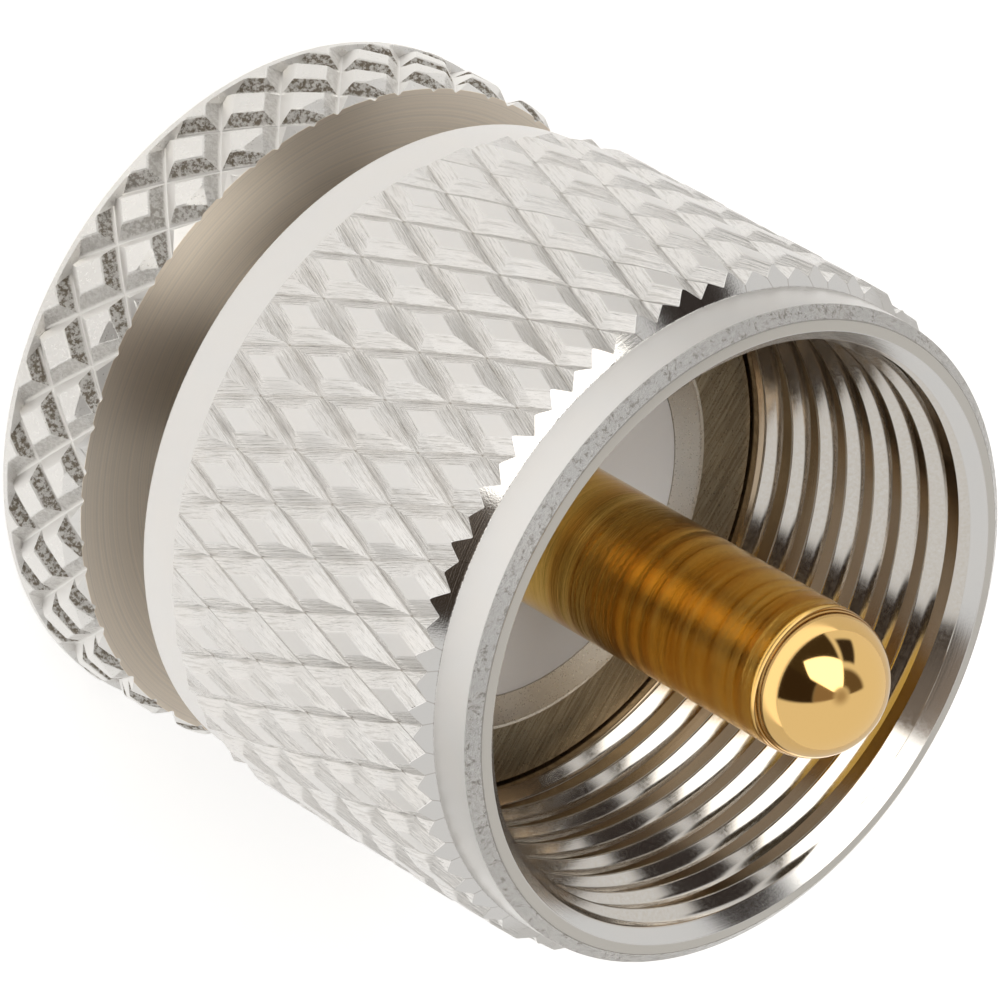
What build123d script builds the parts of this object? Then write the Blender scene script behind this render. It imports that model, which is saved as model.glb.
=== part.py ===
from build123d import *
from math import atan, cos, pi, radians, sin
import os

# UHF plug with a captive, free-turning coupling nut.
# The connector stands on its back face: the origin is the centre of that face,
# +Z runs along the axis towards the tip of the centre pin, lengths are in mm.

# Fits
press_clearance = 0.01
ring_side_clearance = 0.06
ring_rim_clearance = 0.15
sliding_clearance = 0.07
running_clearance = 0.25
edge_break = 0.12

# Centre pin: exposed pin, stem and collar inside the insulator, tail
pin_radius = 2.0
pin_length_above_face = 13.1
pin_stem_step = 0.3
pin_collar_step = 0.7
pin_collar_length = 1.2
pin_tail_radius = 1.2
pin_tail_length = 1.4

# Insulators and the plug that closes the back
insulator_radius = 5.2
insulator_recess = 0.15
insulator_seat_step = 0.8
rear_insulator_length = 2.0
back_plug_step = 1.5
back_plug_thickness = 1.2

# Body: grip ring at the back, neck, and the flange that the jack's barrel meets
grip_length = 3.0
grip_below_nut = 0.05
grip_land_drop = 0.03
grip_land_length = 0.22
grip_land_edge = 0.05
grip_front_chamfer_length = 0.5
grip_front_chamfer_depth = 0.25
neck_wall = 0.8
neck_length = 5.95
dish_width = 0.85
flange_step = 1.7
flange_thickness = 1.1

# Coupling nut, in the place where it floats between its two stops
nut_back_gap = 2.45
nut_length = 13.0
nut_wall = 1.38
nut_land_drop = 0.35
nut_land_length = 1.3
nut_band_drop = 0.45
nut_band_length = 1.5
nut_shoulder_drop = 0.31
nut_rim_width = 0.29
nut_rim_drop = 0.05
nut_mouth_width = 0.31
nut_mouth_depth = 0.66

# Coupling thread 5/8-24 in the nut; its turns are closed grooves, without the helix
thread_pitch = 1.058
thread_depth = 0.35
thread_root_width = 0.16
thread_opening = 0.56
thread_length = 7.45

# Split retaining ring in the nut's inner groove
ring_hold = 0.45
ring_thickness = 0.8
ring_inset = 0.85
ring_split = 1.4

# Knurl of the nut: fine, steep diamonds
nut_knurl_starts = 39
nut_knurl_half_pitch = 1.885
nut_knurl_depth = 0.3
nut_knurl_flank = 0.35
nut_knurl_embed = 0.04
nut_knurl_phase_height = 12.0
nut_knurl_phase_angle = -90.0

# Knurl of the grip ring: coarse, nearly square diamonds
grip_knurl_starts = 28
grip_knurl_half_pitch = 1.15
grip_knurl_depth = 0.33
grip_knurl_flank = 0.31
grip_knurl_embed = 0.065
grip_knurl_phase_height = 1.15
grip_knurl_phase_angle = -88.5

# Both knurls have grooves with a narrow flat root
groove_root_share = 0.1

# Radii, from the centre outwards
pin_stem_radius = pin_radius + pin_stem_step
pin_collar_radius = pin_stem_radius + pin_collar_step
rear_bore_radius = insulator_radius - insulator_seat_step
back_plug_radius = rear_bore_radius + back_plug_step
neck_radius = insulator_radius + neck_wall
dish_radius = insulator_radius + dish_width
flange_radius = neck_radius + flange_step
ring_inner_radius = neck_radius + running_clearance
nut_bore_radius = flange_radius + sliding_clearance
ring_outer_radius = nut_bore_radius + ring_hold
ring_groove_radius = ring_outer_radius + ring_rim_clearance
thread_root_radius = nut_bore_radius + thread_depth
nut_mouth_radius = thread_root_radius + nut_mouth_width
nut_rim_radius = nut_mouth_radius + nut_rim_width
nut_knurl_radius = thread_root_radius + nut_wall
nut_root_radius = nut_knurl_radius - nut_knurl_depth
nut_land_radius = nut_knurl_radius - nut_land_drop
nut_band_radius = nut_knurl_radius - nut_band_drop
grip_radius = nut_knurl_radius - grip_below_nut
grip_land_radius = grip_radius - grip_land_drop
grip_root_radius = grip_radius - grip_knurl_depth

# Heights, from the back face upwards
insulator_back = back_plug_thickness + rear_insulator_length
collar_top = insulator_back + pin_collar_length
pin_tail_end = insulator_back - pin_tail_length
flange_back = grip_length + neck_length
front_face_height = flange_back + flange_thickness
insulator_front = front_face_height - insulator_recess
pin_tip = insulator_front + pin_length_above_face
nut_back = grip_length + nut_back_gap
nut_front = nut_back + nut_length
land_top = nut_back + nut_land_length
knurl_front = nut_front - nut_band_length
groove_back = nut_back + ring_inset
ring_back = groove_back + ring_side_clearance
groove_front = ring_back + ring_thickness + ring_side_clearance
thread_front = nut_front - nut_mouth_depth
thread_turns = int(thread_length / thread_pitch)


def lozenge_reach(radius, starts, half_pitch):
    """Half width, half height and edge distance of one full diamond of the grid."""
    half_width = pi * radius / starts
    lean = atan(half_width / half_pitch)
    return half_width, half_pitch, half_width * cos(lean)


def thread_groove(middle):
    """Outline of one turn of the inner thread, from its front to its back."""
    return [
        (nut_bore_radius, middle + thread_opening / 2),
        (thread_root_radius, middle + thread_root_width / 2),
        (thread_root_radius, middle - thread_root_width / 2),
        (nut_bore_radius, middle - thread_opening / 2),
    ]


def shrunk_lozenge(radius, starts, half_pitch, inset):
    """Corners of the grid's diamond with every edge moved inwards by inset."""
    half_width, half_height, reach = lozenge_reach(radius, starts, half_pitch)
    share = (reach - inset) / reach
    return [
        (half_width * share, 0),
        (0, half_height * share),
        (-half_width * share, 0),
        (0, -half_height * share),
    ]


def knurl_places(radius, starts, half_pitch, phase_height, phase_angle, low, high):
    """Where each diamond sits on the grooved cylinder between two heights."""
    first = int((low - phase_height) // half_pitch)
    last = int((high - phase_height) // half_pitch) + 1
    places = []
    for row in range(first, last + 1):
        shift = 0.5 if row % 2 else 0.0
        for start in range(starts):
            turn = radians(phase_angle + (start + shift) * 360 / starts)
            outward = (cos(turn), sin(turn), 0)
            across = (-sin(turn), cos(turn), 0)
            centre = (radius * outward[0], radius * outward[1], phase_height + row * half_pitch)
            places.append(Plane(origin=centre, x_dir=across, z_dir=outward).location)
    return places


os.makedirs("parts", exist_ok=True)

# One diamond of the nut's knurl: a low four-sided pyramid with a flat top
nut_reach = lozenge_reach(nut_root_radius, nut_knurl_starts, nut_knurl_half_pitch)[2]
nut_root_inset = groove_root_share * nut_reach
nut_foot_inset = nut_root_inset - nut_knurl_embed * nut_knurl_flank / nut_knurl_depth

with BuildPart() as nut_diamond:
    with BuildSketch(Plane.XY.offset(-nut_knurl_embed)):
        foot = shrunk_lozenge(
            nut_root_radius, nut_knurl_starts, nut_knurl_half_pitch, nut_foot_inset
        )
        Polygon(*foot, align=None)
    with BuildSketch(Plane.XY.offset(nut_knurl_depth)):
        top = shrunk_lozenge(
            nut_root_radius, nut_knurl_starts, nut_knurl_half_pitch, nut_root_inset + nut_knurl_flank
        )
        Polygon(*top, align=None)
    loft()

# One diamond of the grip ring's knurl
grip_reach = lozenge_reach(grip_root_radius, grip_knurl_starts, grip_knurl_half_pitch)[2]
grip_root_inset = groove_root_share * grip_reach
grip_foot_inset = grip_root_inset - grip_knurl_embed * grip_knurl_flank / grip_knurl_depth

with BuildPart() as grip_diamond:
    with BuildSketch(Plane.XY.offset(-grip_knurl_embed)):
        foot = shrunk_lozenge(
            grip_root_radius, grip_knurl_starts, grip_knurl_half_pitch, grip_foot_inset
        )
        Polygon(*foot, align=None)
    with BuildSketch(Plane.XY.offset(grip_knurl_depth)):
        top = shrunk_lozenge(
            grip_root_radius, grip_knurl_starts, grip_knurl_half_pitch, grip_root_inset + grip_knurl_flank
        )
        Polygon(*top, align=None)
    loft()

# Body: one turned piece, open through its middle
with BuildPart() as body:
    with BuildSketch(Plane.XZ):
        with BuildLine():
            Polyline(
                (back_plug_radius, 0),
                (grip_land_radius - grip_land_edge, 0),
                (grip_land_radius, grip_land_edge),
                (grip_land_radius, grip_land_length),
                (grip_root_radius, grip_land_length),
                (grip_root_radius, grip_length),
                (neck_radius, grip_length),
                (neck_radius, flange_back),
                (flange_radius - edge_break, flange_back),
                (flange_radius, flange_back + edge_break),
                (flange_radius, front_face_height - edge_break),
                (flange_radius - edge_break, front_face_height),
                (dish_radius, front_face_height),
                (insulator_radius, insulator_front),
                (insulator_radius, insulator_back),
                (rear_bore_radius, insulator_back),
                (rear_bore_radius, back_plug_thickness),
                (back_plug_radius, back_plug_thickness),
                close=True,
            )
        make_face()
    revolve(axis=Axis.Z)
    with Locations(
        *knurl_places(
            grip_root_radius,
            grip_knurl_starts,
            grip_knurl_half_pitch,
            grip_knurl_phase_height,
            grip_knurl_phase_angle,
            grip_land_length,
            grip_length,
        )
    ):
        add(grip_diamond.part)
    # The knurled ring is faced and chamfered in front and turned down to its land at the back
    waste = 2 * grip_knurl_half_pitch
    waste_radius = grip_radius + waste
    back_waste_height = grip_land_length + grip_land_drop + waste
    with BuildSketch(Plane.XZ):
        with BuildLine():
            Polyline(
                (neck_radius + edge_break, grip_length),
                (grip_radius - grip_front_chamfer_depth, grip_length),
                (grip_radius, grip_length - grip_front_chamfer_length),
                (waste_radius, grip_length - grip_front_chamfer_length),
                (waste_radius, grip_length + waste),
                (neck_radius + edge_break, grip_length + waste),
                close=True,
            )
        make_face()
        with BuildLine():
            Polyline(
                (grip_land_radius, grip_land_length),
                (waste_radius, back_waste_height),
                (waste_radius, -waste),
                (back_plug_radius, -waste),
                (back_plug_radius, 0),
                (grip_land_radius - grip_land_edge, 0),
                (grip_land_radius, grip_land_edge),
                close=True,
            )
        make_face()
    revolve(axis=Axis.Z, mode=Mode.SUBTRACT)
body.part.label = "body"
export_step(body.part, "parts/body.step")

# Coupling nut: turned blank at the knurl's root, knurled, then faced at both ends
thread_points = []
for thread_turn in range(thread_turns):
    thread_points += thread_groove(thread_front - (thread_turn + 0.5) * thread_pitch)

with BuildPart() as coupling_nut:
    with BuildSketch(Plane.XZ):
        with BuildLine():
            Polyline(
                (nut_bore_radius, nut_back),
                (nut_land_radius - edge_break, nut_back),
                (nut_land_radius, nut_back + edge_break),
                (nut_land_radius, land_top),
                (nut_root_radius, land_top),
                (nut_root_radius, knurl_front - (nut_root_radius - nut_band_radius)),
                (nut_band_radius, knurl_front),
                (nut_band_radius, nut_front - nut_shoulder_drop),
                (nut_rim_radius, nut_front - nut_rim_drop),
                (nut_mouth_radius, nut_front),
                (nut_bore_radius, thread_front),
                *thread_points,
                (nut_bore_radius, groove_front),
                (ring_groove_radius, groove_front),
                (ring_groove_radius, groove_back),
                (nut_bore_radius, groove_back),
                close=True,
            )
        make_face()
    revolve(axis=Axis.Z)
    with Locations(
        *knurl_places(
            nut_root_radius,
            nut_knurl_starts,
            nut_knurl_half_pitch,
            nut_knurl_phase_height,
            nut_knurl_phase_angle,
            land_top,
            knurl_front,
        )
    ):
        add(nut_diamond.part)
    # The ends of the knurl are turned away down to the land and the front band
    waste = 2 * nut_knurl_half_pitch
    waste_radius = nut_knurl_radius + waste
    back_waste_height = land_top + nut_land_drop + waste
    front_waste_height = knurl_front - nut_band_drop - waste
    with BuildSketch(Plane.XZ):
        with BuildLine():
            Polyline(
                (nut_land_radius, land_top),
                (waste_radius, back_waste_height),
                (waste_radius, nut_back - waste),
                (nut_bore_radius, nut_back - waste),
                (nut_bore_radius, nut_back),
                (nut_land_radius - edge_break, nut_back),
                (nut_land_radius, nut_back + edge_break),
                close=True,
            )
        make_face()
        with BuildLine():
            Polyline(
                (nut_band_radius, knurl_front),
                (waste_radius, front_waste_height),
                (waste_radius, knurl_front + waste),
                (nut_band_radius, knurl_front + waste),
                close=True,
            )
        make_face()
    revolve(axis=Axis.Z, mode=Mode.SUBTRACT)
coupling_nut.part.label = "coupling_nut"
export_step(coupling_nut.part, "parts/coupling_nut.step")

# Split ring that keeps the nut on the body and lets it turn and float
with BuildPart() as retaining_ring:
    with BuildSketch(Plane.XY.offset(ring_back)):
        Circle(ring_outer_radius)
        Circle(ring_inner_radius, mode=Mode.SUBTRACT)
        with Locations((0, ring_outer_radius)):
            Rectangle(ring_split, 2 * ring_outer_radius, mode=Mode.SUBTRACT)
    extrude(amount=ring_thickness)
retaining_ring.part.label = "retaining_ring"
export_step(retaining_ring.part, "parts/retaining_ring.step")

# Front insulator with a seat for the pin's collar
with BuildPart() as front_insulator:
    with BuildSketch(Plane.XY.offset(insulator_back)):
        Circle(insulator_radius - press_clearance)
    extrude(amount=insulator_front - insulator_back)
    with BuildSketch(Plane.XY.offset(insulator_back)):
        Circle(pin_stem_radius + press_clearance)
    extrude(amount=insulator_front - insulator_back, mode=Mode.SUBTRACT)
    with BuildSketch(Plane.XY.offset(insulator_back)):
        Circle(pin_collar_radius + press_clearance)
    extrude(amount=pin_collar_length, mode=Mode.SUBTRACT)
front_insulator.part.label = "front_insulator"
export_step(front_insulator.part, "parts/front_insulator.step")

# Centre pin: round nose, thicker stem and collar inside the insulator, thin tail
with BuildPart() as centre_pin:
    with BuildSketch(Plane.XZ):
        with BuildLine():
            Polyline(
                (0, pin_tip),
                (0, pin_tail_end),
                (pin_tail_radius, pin_tail_end),
                (pin_tail_radius, insulator_back),
                (pin_collar_radius, insulator_back),
                (pin_collar_radius, collar_top),
                (pin_stem_radius, collar_top),
                (pin_stem_radius, insulator_front),
                (pin_radius, insulator_front),
                (pin_radius, pin_tip - pin_radius),
            )
            RadiusArc((pin_radius, pin_tip - pin_radius), (0, pin_tip), -pin_radius)
        make_face()
    revolve(axis=Axis.Z)
centre_pin.part.label = "centre_pin"
export_step(centre_pin.part, "parts/centre_pin.step")

# Rear insulator behind the collar, with a blind hole for the tail
with BuildPart() as rear_insulator:
    with BuildSketch(Plane.XY.offset(back_plug_thickness)):
        Circle(rear_bore_radius - press_clearance)
    extrude(amount=rear_insulator_length)
    with BuildSketch(Plane.XY.offset(insulator_back)):
        Circle(pin_tail_radius + press_clearance)
    extrude(amount=-pin_tail_length, mode=Mode.SUBTRACT)
rear_insulator.part.label = "rear_insulator"
export_step(rear_insulator.part, "parts/rear_insulator.step")

# Plug that closes the back of the body, flush with its rim
with BuildPart() as back_plug:
    with BuildSketch():
        Circle(back_plug_radius - press_clearance)
    extrude(amount=back_plug_thickness)
    chamfer(back_plug.faces().sort_by(Axis.Z)[0].edges(), edge_break)
back_plug.part.label = "back_plug"
export_step(back_plug.part, "parts/back_plug.step")
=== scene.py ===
import math
from collections import namedtuple

import bpy
from mathutils import Matrix, Vector


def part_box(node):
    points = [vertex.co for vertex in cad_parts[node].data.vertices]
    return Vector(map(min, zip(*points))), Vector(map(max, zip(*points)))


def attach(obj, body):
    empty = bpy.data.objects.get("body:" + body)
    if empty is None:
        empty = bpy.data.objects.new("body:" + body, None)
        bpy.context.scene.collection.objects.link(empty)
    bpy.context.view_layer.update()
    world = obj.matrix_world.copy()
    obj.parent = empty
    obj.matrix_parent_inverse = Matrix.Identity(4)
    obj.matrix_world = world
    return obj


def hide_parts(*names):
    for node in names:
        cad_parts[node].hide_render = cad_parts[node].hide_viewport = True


# UHF plug in the CAD frame: it stands on its back face, +Z is the plug's axis.
# Sizes are written in millimetres and multiplied by MM where points are made.

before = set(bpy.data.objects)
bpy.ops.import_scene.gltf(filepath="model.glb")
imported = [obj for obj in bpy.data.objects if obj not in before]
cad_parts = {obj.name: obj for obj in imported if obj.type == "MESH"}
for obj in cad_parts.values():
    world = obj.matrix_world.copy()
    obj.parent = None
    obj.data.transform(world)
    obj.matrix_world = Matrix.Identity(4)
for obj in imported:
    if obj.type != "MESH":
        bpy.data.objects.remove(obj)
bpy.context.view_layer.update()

MM = 0.001

# Heights taken from the CAD nodes, in millimetres


def top_of(node):
    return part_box(node)[1].z / MM


def bottom_of(node):
    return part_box(node)[0].z / MM


NUT_BACK = bottom_of("coupling_nut")
NUT_FRONT = top_of("coupling_nut")
BODY_FRONT = top_of("body")
DISC_BACK = bottom_of("front_insulator")
DISC_FRONT = top_of("front_insulator")
PIN_TIP = top_of("centre_pin")
PIN_TAIL = bottom_of("centre_pin")

# Body
GRIP_RADIUS = 9.45
GRIP_LENGTH = 3.0
GRIP_CHAMFER_LENGTH = 0.5
GRIP_CHAMFER_DEPTH = 0.25
GRIP_LAND_RADIUS = 9.42
GRIP_LAND_LENGTH = 0.22
GRIP_LAND_EDGE = 0.05
NECK_RADIUS = 6.0
FLANGE_RADIUS = 7.7
FLANGE_THICKNESS = 1.1
DISH_RADIUS = 6.05
DISC_RADIUS = 5.2
REAR_BORE_RADIUS = 4.4
PLUG_SEAT_RADIUS = 5.9
PLUG_SEAT_DEPTH = 1.2
FLANGE_EDGE = 0.04
DISH_EDGE = 0.05
PLUG_SEAT_EDGE = 0.06
CORNER = 0.12

# Coupling nut
NUT_CREST_RADIUS = 9.5
NUT_LAND_RADIUS = 9.15
NUT_LAND_LENGTH = 1.3
NUT_BAND_RADIUS = 9.05
NUT_BAND_LENGTH = 1.5
NUT_SHOULDER_DROP = 0.31
NUT_RIM_RADIUS = 8.72
NUT_RIM_DROP = 0.05
NUT_MOUTH_RADIUS = 8.43
NUT_MOUTH_DEPTH = 0.66
NUT_BORE_RADIUS = 7.77
NUT_EDGE = 0.03
NUT_RIM_EDGE = 0.02
RING_GROOVE_RADIUS = 8.37
RING_GROOVE_BACK = 0.85
RING_GROOVE_WIDTH = 0.92

# Coupling thread, 24 turns to the inch: a ridge with a 45 degree front flank
THREAD_PITCH = 1.058
THREAD_ROOT_RADIUS = 8.08
THREAD_LAND_TOP = 10.28
THREAD_START = 10.12
THREAD_TURNS = 7.7
THREAD_CREST_WIDTH = 0.06
THREAD_BACK_RUN = 0.12
THREAD_FLANK_DEPTH = 0.25
THREAD_FOOT_RUN = 0.16
THREAD_ROUNDINGS = (0.015, 0.03, 0.08)
THREAD_SINK = 0.03
THREAD_EMBED = 0.02

# Centre pin
PIN_RADIUS = 2.0
PIN_STEM_RADIUS = 2.3
PIN_COLLAR_RADIUS = 3.0
PIN_COLLAR_LENGTH = 1.2
PIN_TAIL_RADIUS = 1.2
PIN_BARREL_ROWS = 40
PIN_NOSE_ROWS = 48
PIN_WAVES_START = 13.0

# Front disc
DISC_CLEARANCE = 0.01
DISC_EDGE = 0.06
DISC_HOLE_EDGE = 0.04

# Knurls: starts, half pitch along the axis, groove depth and flank width, the share of the depth that
# the shallower family has, one diamond's centre, and the break at the diamonds' edges
NUT_KNURL = {
    "starts": 39,
    "half_pitch": 1.885,
    "depth": 0.3,
    "flank": 0.385,
    "cross_share": 0.82,
    "phase_height": 12.0,
    "phase_angle": -90.0,
    "crest_break": 0.03,
}
GRIP_KNURL = {
    "starts": 28,
    "half_pitch": 1.15,
    "depth": 0.33,
    "flank": 0.35,
    "cross_share": 1.0,
    "phase_height": 1.15,
    "phase_angle": -88.5,
    "crest_break": 0.05,
}
ROOT_SHARE = 0.025

# A plain surface starts this far from a knurl's end ring
SEAM = 0.02

FINE_SEGMENTS = 384
SEGMENTS = 192

# Edges that turn by more than this stay sharp
SHARP_DEGREES = 35
KNURL_SHARP_DEGREES = 24
THREAD_SHARP_DEGREES = 50

# The groove attribute of a corner off the knurls: far from every groove
OFF_GROOVES = (9.0, 0.0, 0.0)

GrooveShape = namedtuple("GrooveShape", "distances depths reach lean along_unit")


# Meshes


class Shell:
    """Points, faces and groove coordinates of one piece, gathered in millimetres."""

    def __init__(self):
        self.points = []
        self.faces = []
        self.corners = []

    def ring(self, radius, height, angles):
        first = len(self.points)
        for angle in angles:
            self.points.append((radius * math.cos(angle), radius * math.sin(angle), height))
        return list(range(first, len(self.points)))

    def face(self, ids, corner=None):
        self.faces.append(ids)
        self.corners.append(corner or [OFF_GROOVES] * len(ids))

    def angle(self, index):
        x, y, z = self.points[index]
        return math.atan2(y, x) % (2 * math.pi)

    def join(self, inner, outer):
        """Faces between two rings that run round the axis, whatever their numbers of points."""
        if len(inner) == len(outer):
            count = len(inner)
            for i in range(count):
                j = (i + 1) % count
                self.face([inner[i], inner[j], outer[j], outer[i]])
            return
        a = sorted(inner, key=self.angle)
        b = sorted(outer, key=self.angle)
        i = j = 0
        while i < len(a) or j < len(b):
            next_a = self.angle(a[i + 1]) if i + 1 < len(a) else 2 * math.pi + self.angle(a[0])
            next_b = self.angle(b[j + 1]) if j + 1 < len(b) else 2 * math.pi + self.angle(b[0])
            here_a = a[i % len(a)]
            here_b = b[j % len(b)]
            if j >= len(b) or (i < len(a) and next_a <= next_b):
                self.face([here_a, a[(i + 1) % len(a)], here_b])
                i += 1
            else:
                self.face([here_a, b[(j + 1) % len(b)], here_b])
                j += 1

    def lathe(self, outline, angles, start=None, end=None):
        """Turns an outline of (radius, height) points; start and end are rings it begins or ends on."""
        rings = [start] if start else []
        for radius, height in outline:
            rings.append(self.ring(radius, height, angles))
        if end:
            rings.append(end)
        for low, high in zip(rings, rings[1:]):
            self.join(low, high)
        return rings

    def build(self, name, sharp_degrees=SHARP_DEGREES):
        mesh = bpy.data.meshes.new(name)
        mesh.from_pydata([Vector(p) * MM for p in self.points], [], self.faces)
        groove = mesh.attributes.new("groove", "FLOAT_VECTOR", "CORNER")
        flat = [value for corner in self.corners for point in corner for value in point]
        groove.data.foreach_set("vector", flat)
        mesh.validate()
        piece = bpy.data.objects.new(name, mesh)
        bpy.context.scene.collection.objects.link(piece)
        mesh.polygons.foreach_set("use_smooth", [True] * len(mesh.polygons))
        mesh.set_sharp_from_angle(angle=math.radians(sharp_degrees))
        weighted = piece.modifiers.new("even_normals", "WEIGHTED_NORMAL")
        weighted.keep_sharp = True
        return piece


def turn(count):
    return [2 * math.pi * i / count for i in range(count)]


def rounded(corners, steps=4):
    """An outline of (radius, height) points from (radius, height, rounding) corners."""
    outline = []
    for i, (r, z, rounding) in enumerate(corners):
        if rounding == 0 or i in (0, len(corners) - 1):
            outline.append((r, z))
            continue
        here = Vector((r, z))
        back = Vector(corners[i - 1][:2]) - here
        ahead = Vector(corners[i + 1][:2]) - here
        a = here + back.normalized() * rounding
        b = here + ahead.normalized() * rounding
        for k in range(steps + 1):
            t = k / steps
            point = a * (1 - t) ** 2 + here * 2 * t * (1 - t) + b * t ** 2
            outline.append((point.x, point.y))
    return outline


def groove_shape(knurl, crest_radius):
    """The lines of a groove's profile by distance from its centre, their depths, and the groove's slant."""
    root_radius = crest_radius - knurl["depth"]
    half_width = math.pi * root_radius / knurl["starts"]
    lean = math.atan(half_width / knurl["half_pitch"])
    reach = half_width * math.cos(lean)
    root = ROOT_SHARE * reach
    depth = knurl["depth"]
    flank = knurl["flank"]
    crest_break = knurl["crest_break"]
    distances = [0, root, root + flank * (1 - crest_break / depth), root + flank + crest_break / 2]
    distances += [(distances[-1] + reach) / 2, reach]
    depths = [depth, depth, crest_break, 0, 0, 0]
    return GrooveShape(distances, depths, reach, lean, knurl["half_pitch"] / math.cos(lean))


class Knurled:
    """The knurled surface of a cylinder between two heights, turned away by straight cones.

    A point is (cosine, sine, height, radius). The lattice has a u and a v axis, one across each family
    of grooves. A diamond is one cell, with its centre at whole numbers and the grooves at the halves.
    """

    def __init__(self, knurl, crest_radius, low, high, cones):
        self.knurl = knurl
        self.crest_radius = crest_radius
        self.cones = cones
        self.shape = groove_shape(knurl, crest_radius)
        offsets = [d / (2 * self.shape.reach) for d in self.shape.distances]
        self.places = [-0.5 + o for o in offsets] + [0.5 - o for o in reversed(offsets[:-1])]
        self.depths = self.shape.depths + self.shape.depths[-2::-1]
        self.count = len(self.places) - 1
        self.points = []
        self.known = {}
        self.triangles = []
        self.make_lattice(low, high)
        self.cut([z - low for x, y, z, r in self.points], keep_below=False)
        self.cut([high - z for x, y, z, r in self.points], keep_below=False)
        self.cut([r - self.cone(z) for x, y, z, r in self.points], keep_below=True)

    def cone(self, z):
        return min(radius + slope * (z - height) for radius, height, slope in self.cones)

    def make_lattice(self, low, high):
        """Triangles whose edges follow the grooves, in cells of one diamond each."""
        half_pitch = self.knurl["half_pitch"]
        first_row = int((low - self.knurl["phase_height"]) // half_pitch) - 1
        last_row = int((high - self.knurl["phase_height"]) // half_pitch) + 2
        for row in range(first_row, last_row + 1):
            for start in range(self.knurl["starts"]):
                cell = (start + (row + 1) // 2, start - row // 2)
                for i in range(self.count):
                    for j in range(self.count):
                        self.add_square(cell, i, j)

    def add_square(self, cell, i, j):
        """Two triangles, split along the line that leads from the diamond's corner to its middle."""
        grid = [(i, j), (i + 1, j), (i + 1, j + 1), (i, j + 1)]
        ids = [self.lattice_point(cell, a, b) for a, b in grid]
        places = [(self.places[a], self.places[b]) for a, b in grid]
        right = self.places[i] + self.places[i + 1] > 0
        upper = self.places[j] + self.places[j + 1] > 0
        parts = [(0, 1, 2), (0, 2, 3)] if right == upper else [(0, 1, 3), (1, 2, 3)]
        for part in parts:
            middle = [sum(places[k][axis] for k in part) / 3 for axis in (0, 1)]
            corner = [self.groove_place(cell, places[k], middle) for k in part]
            self.triangles.append(([ids[k] for k in part], corner))

    def lattice_point(self, cell, i, j):
        """The index of a point, which is made once and shared by its cells, also where the turn closes."""
        starts = self.knurl["starts"]
        wrap = starts * self.count
        key_u = cell[0] * self.count + i
        key_v = cell[1] * self.count + j
        turns = (key_u + key_v) // (2 * wrap)
        key = (key_u - turns * wrap, key_v - turns * wrap)
        if key not in self.known:
            u = cell[0] + self.places[i]
            v = cell[1] + self.places[j]
            angle = math.radians(self.knurl["phase_angle"]) + (u + v) * math.pi / starts
            z = self.knurl["phase_height"] + (u - v) * self.knurl["half_pitch"]
            depth = max(self.depths[i] * self.knurl["cross_share"], self.depths[j])
            self.known[key] = len(self.points)
            self.points.append((math.cos(angle), math.sin(angle), z, self.crest_radius - depth))
        return self.known[key]

    def groove_place(self, cell, place, middle):
        """How far a corner is across its face's groove and along it, and the groove's family, 1 or -1."""
        in_u_family = abs(middle[0]) > abs(middle[1])
        across_axis, along_axis = (0, 1) if in_u_family else (1, 0)
        edge = math.copysign(0.5, middle[across_axis])
        across = (place[across_axis] - edge) * 2 * self.shape.reach
        along = (cell[along_axis] + place[along_axis]) * self.shape.along_unit
        return across, along, 1.0 if in_u_family else -1.0

    def cut(self, values, keep_below):
        """Splits the triangles where the points' values are zero; keeps what is below, or drops it."""
        kept = []
        middle = {}

        def between(a, b):
            low, high = key = (min(a, b), max(a, b))
            share = values[low] / (values[low] - values[high])
            if key not in middle:
                pair = zip(self.points[low], self.points[high])
                x, y, z, r = (p + (q - p) * share for p, q in pair)
                length = math.hypot(x, y)
                middle[key] = len(self.points)
                self.points.append((x / length, y / length, z, r))
                values.append(0.0)
            return middle[key], share if low == a else 1 - share

        for ids, corner in self.triangles:
            signs = [values[i] for i in ids]
            if min(signs) >= 0:
                kept.append((ids, corner))
                continue
            if max(signs) <= 0:
                if keep_below:
                    kept.append((ids, corner))
                continue
            above, below = [], []
            for k in range(3):
                a, b = ids[k], ids[(k + 1) % 3]
                here = (a, corner[k])
                if values[a] >= 0:
                    above.append(here)
                if values[a] <= 0:
                    below.append(here)
                if values[a] * values[b] < 0:
                    new, share = between(a, b)
                    ends = zip(corner[k], corner[(k + 1) % 3])
                    mixed = tuple(p + (q - p) * share for p, q in ends)
                    above.append((new, mixed))
                    below.append((new, mixed))
            for polygon in (above, below) if keep_below else (above,):
                for k in range(1, len(polygon) - 1):
                    three = (polygon[0], polygon[k], polygon[k + 1])
                    kept.append(([p[0] for p in three], [p[1] for p in three]))
        self.triangles = kept

    def add_to(self, shell):
        """Adds the surface to a shell; returns its lowest and highest rings of points."""
        used = sorted({i for ids, corner in self.triangles for i in ids})
        new_index = {}
        for i in used:
            x, y, z, r = self.points[i]
            r = min(r, self.cone(z))
            new_index[i] = len(shell.points)
            shell.points.append((x * r, y * r, z))
        for ids, corner in self.triangles:
            shell.face([new_index[i] for i in ids], corner)
        heights = [self.points[i][2] for i in used]
        ends = []
        for height in (min(heights), max(heights)):
            ring = [new_index[i] for i in used if math.isclose(self.points[i][2], height, abs_tol=1e-7)]
            ends.append(sorted(ring, key=shell.angle))
        return ends


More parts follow.
